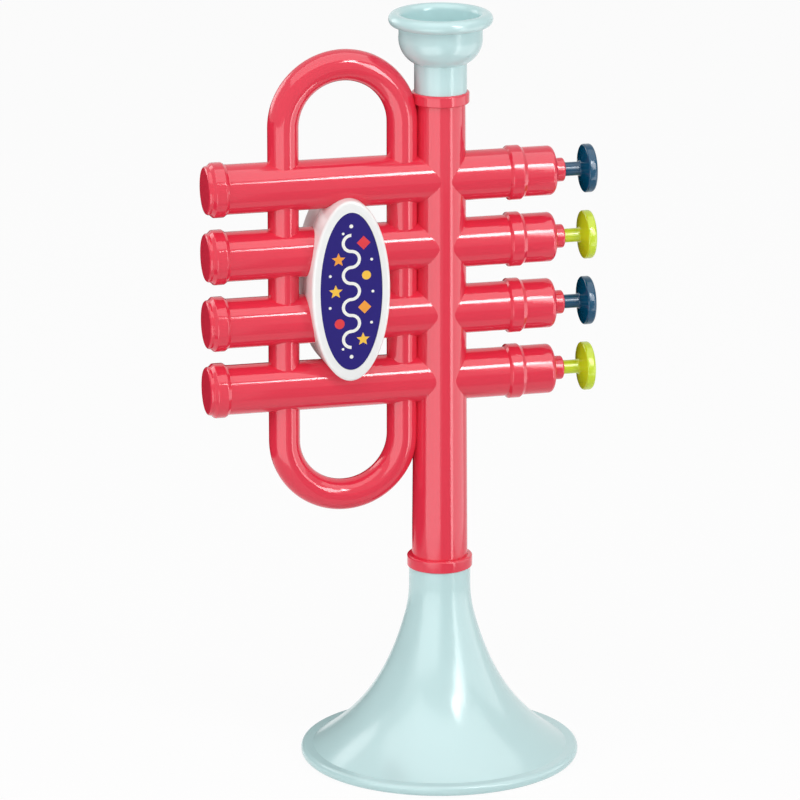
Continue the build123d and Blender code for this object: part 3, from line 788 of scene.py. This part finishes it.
class TRUMPET_OT_buttons(bpy.types.Operator):
    """Makes the buttons with their stems, spring collars and rods, and finishes their pads"""
    bl_idname = "trumpet.buttons"
    bl_label = "Buttons"

    def execute(self, context):
        rim = context.scene.trumpet_sizes.button_round / MM
        pad, pad_back, nib, barb, nib_length = -port_wall - 0.3, 2.2, 1.1, 1.9, 3.6
        rod, collar, collar_back, collar_front, collar_round = 2.0, 6.0, 31.0, 33.0, 0.3
        stem, stem_round, disc, back, front = 2.9, 0.9, 10.15, 61.3, 65.6
        cone, cone_round, crown, crown_round = 1.7, 0.8, 0.7, 3.0
        button = smooth(valve_turned("button", rounded([
            (pad - nib_length, 0, 0), (pad - nib_length, nib, 0), (pad - pad_back, barb, 0),
            (pad - pad_back, nib, 0), (pad, nib, 0), (pad, rod, 0), (collar_back, rod, 0),
            (collar_back, collar, collar_round), (collar_front, collar, collar_round),
            (collar_front, stem, 0), (back - cone, stem, stem_round), (back, disc, cone_round),
            (front - crown, disc, rim), (front, disc / 3, crown_round), (front, 0, 0),
        ])))
        for number, piece in enumerate(down_the_row(button, "button_dressed"), start=1):
            slot = "navy_plastic" if number % 2 else "lime_plastic"
            finish_piece(piece, button_abs(number), f"valve_{number}", slot, f"button_{number}")
            coat(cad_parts[f"valve_pad_{number}"], pad_rubber())
        return {"FINISHED"}


class TRUMPET_OT_springs(bpy.types.Operator):
    """Makes the return springs"""
    bl_idname = "trumpet.springs"
    bl_label = "Return springs"

    def execute(self, context):
        wire, coil, turns, length, travel = 0.7, 4.0, 6, 18.6, 6.7
        wire_sides, turn_steps = 12, 32
        begin = port_wall + wire / 2 + fit
        pitch = (length - wire - 2 * fit) / turns
        deselect()
        start = Vector((pipe_x + begin, 0, valve_heights[0])) * MM
        bpy.ops.mesh.primitive_circle_add(
            vertices=wire_sides, radius=wire / 2 * MM,
            location=start + Z_AXIS * coil * MM, rotation=(pi / 2, 0, 0))
        spring = bpy.context.active_object
        bpy.context.scene.cursor.location = start
        bpy.ops.object.transform_apply(location=False, rotation=True, scale=True)
        bpy.ops.object.origin_set(type="ORIGIN_CURSOR")
        screw = spring.modifiers.new("Coil", "SCREW")
        screw.axis, screw.angle, screw.iterations = "X", 2 * pi, turns
        screw.screw_offset = pitch * MM
        screw.steps = screw.render_steps = turn_steps
        bpy.ops.object.modifier_apply(modifier=screw.name)
        bpy.ops.object.mode_set(mode="EDIT")
        bpy.ops.mesh.select_all(action="SELECT")
        bpy.ops.mesh.fill_holes(sides=wire_sides)
        tidy_mesh()
        smooth(settle("spring"), wire_crease, False)
        for number, piece in enumerate(down_the_row(spring, "return_spring_dressed"), start=1):
            finish_piece(piece, metal("drawn spring steel", "B8BABD", 0.3, 0.4), "trumpet",
                         "spring_steel", f"return_spring_{number}")
            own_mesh(piece)
        return {"FINISHED"}


class TRUMPET_OT_reeds(bpy.types.Operator):
    """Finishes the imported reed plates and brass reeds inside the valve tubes"""
    bl_idname = "trumpet.reeds"
    bl_label = "Reeds and their plates"

    def execute(self, context):
        brass = metal("rolled brass", "D9B25A", 0.28, 0.8)
        for number in range(1, len(valve_heights) + 1):
            for name, finish in (("reed_plate", plate_plastic()), ("reed", brass)):
                coat(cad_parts[f"{name}_{number}"], finish)
        return {"FINISHED"}


class TRUMPET_OT_holder(bpy.types.Operator):
    """Makes the white oval holder: two halves that meet in the gaps between the valve tubes"""
    bl_idname = "trumpet.holder"
    bl_label = "Label holder"

    def execute(self, context):
        x, seam = pipe_x - holder_from_pipe, -fit / 2
        front_steps, seam_bevel, post_radius, hole, head_room = 6, 0.3, 3.0, 1.3, 2.5
        front = oval("holder_front_dressed", holder_width, holder_length, -holder_front, seam)
        round_end(front, -holder_front, context.scene.trumpet_sizes.holder_round, front_steps)
        round_end(front, seam, seam_bevel * MM, 1)
        combine(front, oval("hollow", holder_width - holder_wall, holder_length - holder_wall,
                            holder_plate - holder_front, overrun))
        for z in post_heights:
            combine(front, post("post", post_radius, holder_plate - holder_front - overrun, seam,
                                x, z), "UNION")
        for z in valve_heights:
            combine(front, bar("seat", tube_radius + fit, -tube_left, 0, z))

        # The back half is the front one mirrored, with room for the screws
        only(front)
        bpy.ops.object.duplicate(linked=False)
        bpy.context.active_object.scale.y = -1
        back = settle("holder_back_dressed")
        bpy.ops.object.mode_set(mode="EDIT")
        tidy_mesh()
        for z in post_heights:
            combine(back, post("hole", hole, -overrun, holder_front, x, z))
            combine(back, post("head room", head_room, screw_seat, holder_front + overrun, x, z))
        smooth(back, even=False)
        finish_piece(back, white_abs(), "trumpet", "white_plastic", "holder_back")

        # The front half has pilot holes for the screws and a recess for the label
        for z in post_heights:
            combine(front, post("pilot", shank_radius + fit, shank_end - fit, overrun, x, z))
        combine(front, oval("recess", label_width + fit, label_length + fit,
                            -holder_front - overrun, label_recess - holder_front))
        smooth(front, even=False)
        finish_piece(front, white_abs(), "trumpet", "white_plastic", "label_holder")
        return {"FINISHED"}


class TRUMPET_OT_label(bpy.types.Operator):
    """Makes the blue violet label and its printed pattern of a ribbon, discs, diamonds and stars"""
    bl_idname = "trumpet.label"
    bl_label = "Label"

    def execute(self, context):
        face, edge, edge_steps = self.at(0, 0).y / MM, 0.2, 3
        label = oval("label_dressed", label_width, label_length, face, face + label_thickness)
        round_end(label, face, edge * MM, edge_steps)
        smooth(label)
        finish_piece(label, label_film(), "trumpet", "violet_plastic", "label")

        # A white ribbon that winds down the middle, as half rings spun to either side
        height = context.scene.trumpet_sizes.print_height
        bend, width, count = 3.4, 1.3, 7
        shapes = []
        for index in range(count):
            side = -1 if index % 2 else 1
            centre = self.at(0, (count - 1) * bend - 2 * bend * index)
            shapes.append(self.half_ring(centre, bend - width / 2, width, side))
        self.stamp(shapes, "print_ribbon", "white screen ink", "F1F1EC", height)

        # Discs, diamonds and stars in the ribbon's bends
        marks = {
            ("red screen ink", "DE2330"): [(5.2, 20.4, 4, 2.9), (-5.0, -13.6, 32, 2.1)],
            ("orange screen ink", "F09A22"): [(-5.4, 13.6, 5, 3.0), (5.6, -6.9, 4, 2.8)],
            ("yellow screen ink", "F6C135"): [(6.4, 6.6, 32, 1.9), (-6.6, 0.1, 5, 3.0),
                                              (4.9, -20.6, 5, 2.9)],
        }
        for (name, code), places in marks.items():
            shapes = [self.mark(self.at(across, up), sides, size)
                      for across, up, sides, size in places]
            self.stamp(shapes, "print_" + name.split()[0], name, code, height)
        dots = [(0, 27.6, 0.8), (-3.4, 24.6, 0.55), (8.6, 13.2, 0.6), (-8.9, 6.9, 0.6),
                (9.1, -0.4, 0.6), (-9.0, -6.6, 0.6), (8.5, -13.6, 0.6), (0, -27.8, 0.8),
                (-3.6, -24.4, 0.55)]
        dot_sides = 16
        shapes = [self.mark(self.at(across, up), dot_sides, size) for across, up, size in dots]
        self.stamp(shapes, "print_dots", "white screen ink", "F1F1EC", height)
        return {"FINISHED"}

    def at(self, across, up):
        """Point on the label's face, in millimetres from its centre."""
        y = label_recess - holder_front - label_thickness
        return Vector((pipe_x - holder_from_pipe + across, y, holder_height + up)) * MM

    def half_ring(self, centre, inner, width, side):
        """Half of a flat ring, spun from an edge towards one side."""
        deselect()
        ring_steps = 24
        begin = centre + Z_AXIS * inner * MM
        bpy.ops.mesh.primitive_plane_add(size=MM, location=begin)
        bpy.ops.object.mode_set(mode="EDIT")
        bpy.ops.mesh.merge(type="CENTER")
        bpy.ops.mesh.extrude_region_move(TRANSFORM_OT_translate={"value": (0, 0, width * MM)})
        bpy.ops.mesh.select_all(action="SELECT")
        bpy.ops.mesh.spin(steps=ring_steps, angle=pi, center=centre, axis=(0, side, 0))
        tidy_mesh()
        return settle("half ring")

    def mark(self, centre, sides, size):
        """A printed disc or diamond, or a star when it has five sides."""
        deselect()
        waist = 0.45
        count = 2 * sides if sides == 5 else sides
        bpy.ops.mesh.primitive_circle_add(
            vertices=count, radius=size * MM, fill_type="NGON", location=centre,
            rotation=(pi / 2, 0, 0))
        piece = settle("mark")
        if sides == 5:
            inner = [vertex.co / MM for vertex in piece.data.vertices if vertex.index % 2]
            pick(piece, lambda point: any((point - spot).length < near for spot in inner))
            bpy.ops.transform.resize(value=(waist, 1, waist), center_override=centre)
            bpy.ops.object.mode_set(mode="OBJECT")
        return piece

    def stamp(self, shapes, name, finish, code, height):
        """Joins printed shapes of one colour and gives them the thickness of the ink."""
        deselect()
        for shape in shapes:
            shape.select_set(True)
        bpy.context.view_layer.objects.active = shapes[0]
        bpy.ops.object.join()
        piece = settle(name)
        bpy.ops.object.mode_set(mode="EDIT")
        bpy.ops.mesh.select_all(action="SELECT")
        bpy.ops.mesh.remove_doubles(threshold=near * MM)
        bpy.ops.mesh.extrude_region_move(TRANSFORM_OT_translate={"value": (0, -height, 0)})
        tidy_mesh()
        finish_piece(piece, ink(finish, code), "trumpet", "violet_plastic")


class TRUMPET_OT_screws(bpy.types.Operator):
    """Makes the two pan-head screws that draw the holder's halves together from behind"""
    bl_idname = "trumpet.screws"
    bl_label = "Holder screws"

    def execute(self, context):
        x, z, other = pipe_x - holder_from_pipe, *post_heights
        head_radius, head_height, head_round, head_steps = 2.2, 1.4, 0.6, 4
        lap, slot_floor, slot_top, slot_reach, slot_half = 0.5, 0.8, 2.0, 1.3, 0.35
        screw = post("screw", head_radius, screw_seat, screw_seat + head_height, x, z)
        round_end(screw, screw_seat + head_height, head_round * MM, head_steps)
        combine(screw, post("shank", shank_radius, shank_end, screw_seat + lap, x, z), "UNION")
        for width, length in ((slot_reach, slot_half), (slot_half, slot_reach)):
            combine(screw, block("slot", (x - width, screw_seat + slot_floor, z - length),
                                 (x + width, screw_seat + slot_top, z + length)))
        only(screw)
        bpy.ops.object.duplicate(linked=False)
        bpy.ops.transform.translate(value=(0, 0, (other - z) * MM))
        screw.select_set(True)
        bpy.ops.object.join()
        screws = settle("holder_screws_dressed")
        smooth(screws, screw_crease, False)
        finish_piece(screws, metal("zinc-plated steel", "C9CCD0", 0.35, 0.5), "trumpet",
                     "screw_steel", "holder_screws")
        return {"FINISHED"}


class TRUMPET_OT_stage(bpy.types.Operator):
    """Makes the floor, the lights, the world and the camera"""
    bl_idname = "trumpet.stage"
    bl_label = "Stage"

    def execute(self, context):
        floor_size, floor_drop, floor_cells, glow_share = 40, 0.05, 8, 0.92
        sky_light, sky_seen = 0.5, 1.0
        deselect()
        bpy.ops.mesh.primitive_grid_add(
            x_subdivisions=floor_cells, y_subdivisions=floor_cells, size=floor_size,
            location=(0, 0, -floor_drop * MM))
        floor = settle("studio_floor")
        material = new_material("white painted floor")[0]
        # White sweep: it keeps the object's shadow, and else is seen as white, in reflections too
        diffuse = add_node(material, "ShaderNodeBsdfDiffuse", {"Color": linear("F4F4F4")})
        glow = add_node(material, "ShaderNodeEmission", {"Color": linear("FFFFFF")})
        share = add_node(material, "ShaderNodeMath", {1: glow_share},
                         {0: self.seen(material)}, operation="MULTIPLY")
        mix = add_node(material, "ShaderNodeMixShader",
                       links={0: share.outputs[0], 1: diffuse.outputs[0], 2: glow.outputs[0]})
        add_node(material, "ShaderNodeOutputMaterial", links={"Surface": mix.outputs[0]})
        floor.data.materials.append(material)

        world = bpy.data.worlds.new("studio")
        world.use_nodes = True
        world.node_tree.nodes.clear()
        context.scene.world = world
        level = add_node(world, "ShaderNodeMapRange", {"To Min": sky_light, "To Max": sky_seen},
                         {"Value": self.seen(world)})
        sky = add_node(world, "ShaderNodeBackground", {"Color": linear("FFFFFF")},
                       {"Strength": level.outputs["Result"]})
        add_node(world, "ShaderNodeOutputWorld", links={"Surface": sky.outputs[0]})

        target = Vector((-0.1, 0, 155.95)) * MM
        for name, where, size, power in (
                ("key", (-500, -900, 1700), (1500, 900), 10.5),
                ("fill", (1100, -1400, 900), (700, 900), 9),
                ("side", (-1600, -250, 700), (800, 800), 6)):
            bpy.ops.object.light_add(type="AREA", location=Vector(where) * MM)
            lamp = bpy.context.active_object
            lamp.name = name
            lamp.data.shape = "RECTANGLE"
            lamp.data.size, lamp.data.size_y = (s * MM for s in size)
            lamp.data.energy = power
            lamp.rotation_mode = "QUATERNION"
            lamp.rotation_quaternion = (target - lamp.location).to_track_quat("-Z", "Y")
            lamp.visible_glossy = False

        # Cards that only reflections show: strips, a spot and a canopy for the highlights, and pale
        # and dark ones for the soft bands between. They cast no shadow.
        for name, azimuth, elevation, distance, size, taper, strength in (
                ("strip_front", 17, 37.5, 1200, (230, 370), 0.17, 25.0),
                ("strip_low", 36, -13, 330, (62, 260), 1.0, 6.0),
                ("spot_bell", 27.8, 20.4, 850, (230, 400), 1.0, 12.0),
                ("pale_bell", -135, 19, 840, (420, 420), 1.0, 3.5),
                ("pale_front", -43, -16, 330, (340, 240), 1.0, 3.3),
                ("pale_right", 70, -16, 340, (400, 240), 1.0, 2.6),
                ("dark_front", 12, -36, 260, (150, 330), 1.0, 0.5),
                ("dark_left", -112, -13, 340, (400, 260), 1.0, 0.0),
                ("dark_rear", -166, -13, 340, (400, 260), 1.0, 0.0),
                ("canopy", 0, 78, 1300, (3000, 1500), 1.0, 2.9)):
            self.card(name, azimuth, elevation, distance, size, taper, strength)

        # The photograph's viewing angle, from a fit to it
        azimuth, elevation, distance = -14.2, 15.84, 2478.4
        back = self.direction(azimuth, elevation)
        bpy.ops.object.camera_add(location=target + back * distance * MM)
        camera = bpy.context.active_object
        camera.rotation_mode = "QUATERNION"
        camera.rotation_quaternion = (-back).to_track_quat("-Z", "Y")
        camera.data.sensor_width, camera.data.lens = 36, 267.73
        camera.data.clip_start, camera.data.clip_end = 0.1, 30
        context.scene.camera = camera
        context.scene.view_settings.view_transform = "Standard"
        return {"FINISHED"}

    def direction(self, azimuth, elevation):
        """Direction at these angles in degrees, from the front towards the right and up."""
        turn, tilt = radians(azimuth), radians(elevation)
        return Vector((sin(turn) * cos(tilt), -cos(turn) * cos(tilt), sin(tilt)))

    def seen(self, owner):
        """One where a ray comes from the camera, a gloss or a clear piece, and else nought."""
        path = add_node(owner, "ShaderNodeLightPath")
        both = add_node(owner, "ShaderNodeMath", {}, {0: path.outputs["Is Camera Ray"],
                        1: path.outputs["Is Glossy Ray"]}, operation="MAXIMUM")
        return add_node(owner, "ShaderNodeMath", {}, {0: both.outputs[0],
                        1: path.outputs["Is Transmission Ray"]}, operation="MAXIMUM").outputs[0]

    def card(self, name, azimuth, elevation, distance, size, taper, strength):
        """A flat card that faces the object and only reflections show, narrowed at its left."""
        way = self.direction(azimuth, elevation)
        middle = Vector((pipe_x, 0, 200)) * MM
        deselect()
        bpy.ops.mesh.primitive_plane_add(size=1)
        piece = bpy.context.active_object
        pick(piece, lambda point: point.x < 0)
        bpy.ops.transform.resize(value=(1, taper, 1), center_override=(0, 0, 0))
        bpy.ops.object.mode_set(mode="OBJECT")
        piece.scale = (size[0] * MM, size[1] * MM, 1)
        piece.location = middle + way * distance * MM
        piece.rotation_mode = "QUATERNION"
        piece.rotation_quaternion = way.to_track_quat("Z", "Y")
        piece = settle(name)
        material = new_material("studio card " + name)[0]
        glow = add_node(material, "ShaderNodeEmission",
                        {"Color": linear("FFFFFF"), "Strength": strength})
        add_node(material, "ShaderNodeOutputMaterial", links={"Surface": glow.outputs[0]})
        piece.data.materials.append(material)
        for ray in ("camera", "diffuse", "transmission", "volume_scatter", "shadow"):
            setattr(piece, "visible_" + ray, False)


class TRUMPET_PT_pieces(bpy.types.Panel):
    """Lists the trumpet's pieces in the sidebar"""
    bl_label = "Toy trumpet"
    bl_idname = "TRUMPET_PT_pieces"
    bl_space_type = "VIEW_3D"
    bl_region_type = "UI"
    bl_category = "Trumpet"

    def draw(self, context):
        for operator in operators:
            self.layout.operator(operator.bl_idname)
        for group in (context.scene.trumpet_sizes, context.scene.trumpet_colours):
            for name in group.bl_rna.properties.keys():
                if name not in ("rna_type", "name"):
                    self.layout.prop(group, name)


operators = (
    TRUMPET_OT_stage, TRUMPET_OT_body, TRUMPET_OT_rings, TRUMPET_OT_mouthpiece, TRUMPET_OT_bell,
    TRUMPET_OT_tail_caps, TRUMPET_OT_valve_caps, TRUMPET_OT_buttons, TRUMPET_OT_springs,
    TRUMPET_OT_reeds, TRUMPET_OT_holder, TRUMPET_OT_label, TRUMPET_OT_screws,
)
classes = (TrumpetColours, TrumpetSizes, TRUMPET_PT_pieces) + operators


def register():
    for cls in classes:
        bpy.utils.register_class(cls)
    bpy.types.Scene.trumpet_colours = bpy.props.PointerProperty(type=TrumpetColours)
    bpy.types.Scene.trumpet_sizes = bpy.props.PointerProperty(type=TrumpetSizes)


def unregister():
    del bpy.types.Scene.trumpet_sizes
    del bpy.types.Scene.trumpet_colours
    for cls in reversed(classes):
        bpy.utils.unregister_class(cls)


def main():
    register()
    bpy.ops.trumpet.stage()
    bpy.ops.trumpet.body()
    bpy.ops.trumpet.rings()
    bpy.ops.trumpet.mouthpiece()
    bpy.ops.trumpet.bell()
    bpy.ops.trumpet.tail_caps()
    bpy.ops.trumpet.valve_caps()
    bpy.ops.trumpet.buttons()
    bpy.ops.trumpet.springs()
    bpy.ops.trumpet.reeds()
    bpy.ops.trumpet.holder()
    bpy.ops.trumpet.label()
    bpy.ops.trumpet.screws()


if __name__ == "__main__":
    main()
